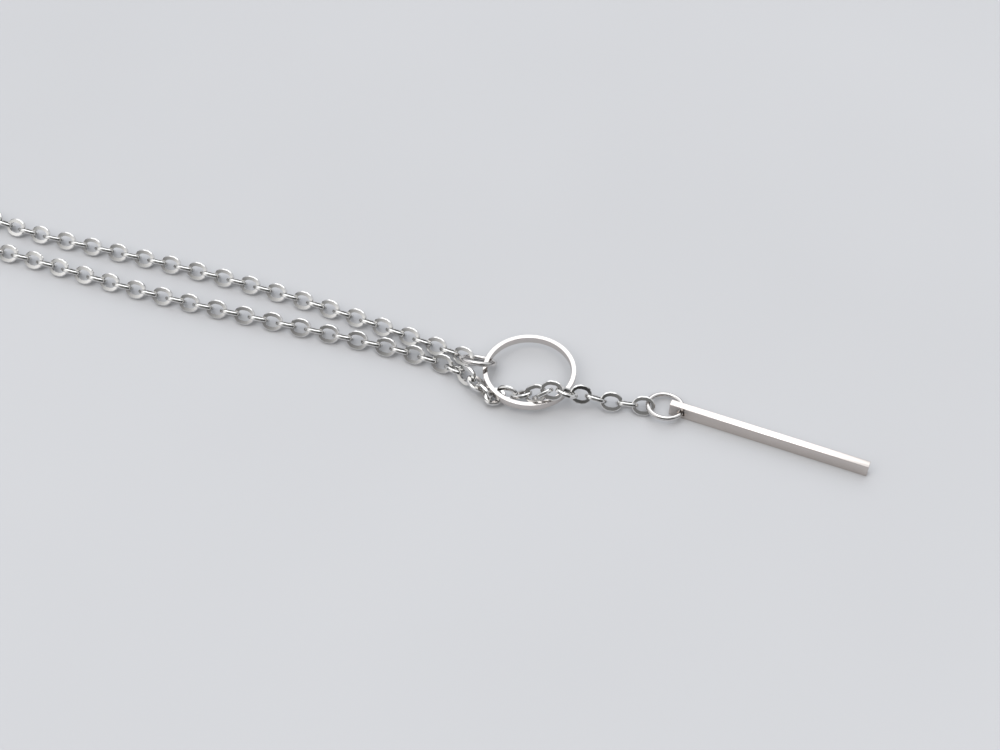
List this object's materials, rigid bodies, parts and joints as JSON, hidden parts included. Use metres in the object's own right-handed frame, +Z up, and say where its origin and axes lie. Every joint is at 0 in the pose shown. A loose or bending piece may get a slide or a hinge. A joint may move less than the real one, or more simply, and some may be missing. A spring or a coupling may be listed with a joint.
{
  "type": "threader necklace",
  "caption": "Long cable chain lying in an open loop: one end carries an open ring, the other is passed through that ring and carries a slim flat bar.",
  "frame": {"origin": "centre of the outline seen from above, on the surface the necklace lies on", "axes": "+X along the bar, from the neck loop towards the free end; +Z up from the surface; +Y towards the upper strand, the one that carries the open ring"},
  "size_m": [0.245, 0.0788, 0.0044],
  "materials": {
    "chain_metal": "polished rhodium plate over brass",
    "ring_metal": "polished rhodium plate over brass",
    "wire_metal": "polished rhodium plate over brass",
    "bar_metal": "polished rhodium plate over brass"
  },
  "bodies": {
    "root": {"neck_chain": "chain_metal", "drop_chain": "chain_metal", "ring": "ring_metal", "ring_jump_ring": "wire_metal", "bar_jump_ring": "wire_metal", "bar": "bar_metal"}
  },
  "joints": []
}
